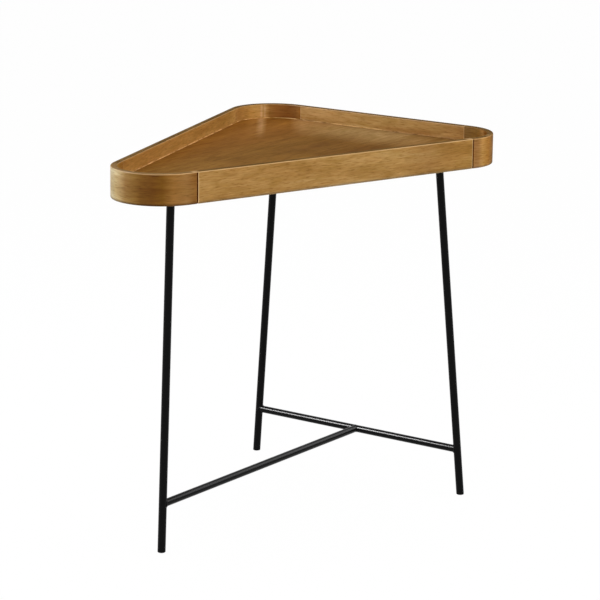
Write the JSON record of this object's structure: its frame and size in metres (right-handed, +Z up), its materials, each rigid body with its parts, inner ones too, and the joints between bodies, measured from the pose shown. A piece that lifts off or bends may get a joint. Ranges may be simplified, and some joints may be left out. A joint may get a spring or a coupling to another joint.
{
  "type": "triangle side table",
  "caption": "Side table with a rounded triangular wooden tray top, its rim turned round bent corners, on a welded base of slim black steel legs with a T-shaped stretcher.",
  "frame": {"origin": "on the floor, under the middle of the tray's bounding box", "axes": "+Z up; +X along the table's symmetry axis, from the tip of the triangle towards the middle of its back edge; +Y to the left as seen from the tip"},
  "size_m": [0.677, 0.497, 0.61],
  "materials": {
    "rim_wood": "warm brown stained veneer under satin lacquer, grain along the boards and round the bends",
    "panel_wood": "warm brown stained veneered plywood under semi-gloss lacquer",
    "feather_wood": "bare plywood, glued in",
    "black_steel": "black satin powder coat",
    "zinc_steel": "bright zinc plate",
    "black_plastic": "moulded black polyethylene"
  },
  "bodies": {
    "root": {"centre_rod": "black_steel", "corner_left": "rim_wood", "corner_right": "rim_wood", "corner_tip": "rim_wood", "crossbar": "black_steel", "feather_back_left": "feather_wood", "feather_back_right": "feather_wood", "feather_left_left": "feather_wood", "feather_left_tip": "feather_wood", "feather_right_right": "feather_wood", "feather_right_tip": "feather_wood", "foot_plug_left": "black_plastic", "foot_plug_right": "black_plastic", "foot_plug_tip": "black_plastic", "leg_left": "black_steel", "leg_plate_left": "black_steel", "leg_plate_right": "black_steel", "leg_plate_tip": "black_steel", "leg_right": "black_steel", "leg_tip": "black_steel", "plate_screw_left_1": "zinc_steel", "plate_screw_left_2": "zinc_steel", "plate_screw_left_3": "zinc_steel", "plate_screw_right_1": "zinc_steel", "plate_screw_right_2": "zinc_steel", "plate_screw_right_3": "zinc_steel", "plate_screw_tip_1": "zinc_steel", "plate_screw_tip_2": "zinc_steel", "plate_screw_tip_3": "zinc_steel", "rail_back": "rim_wood", "rail_left": "rim_wood", "rail_right": "rim_wood", "tray_panel": "panel_wood"}
  },
  "joints": []
}
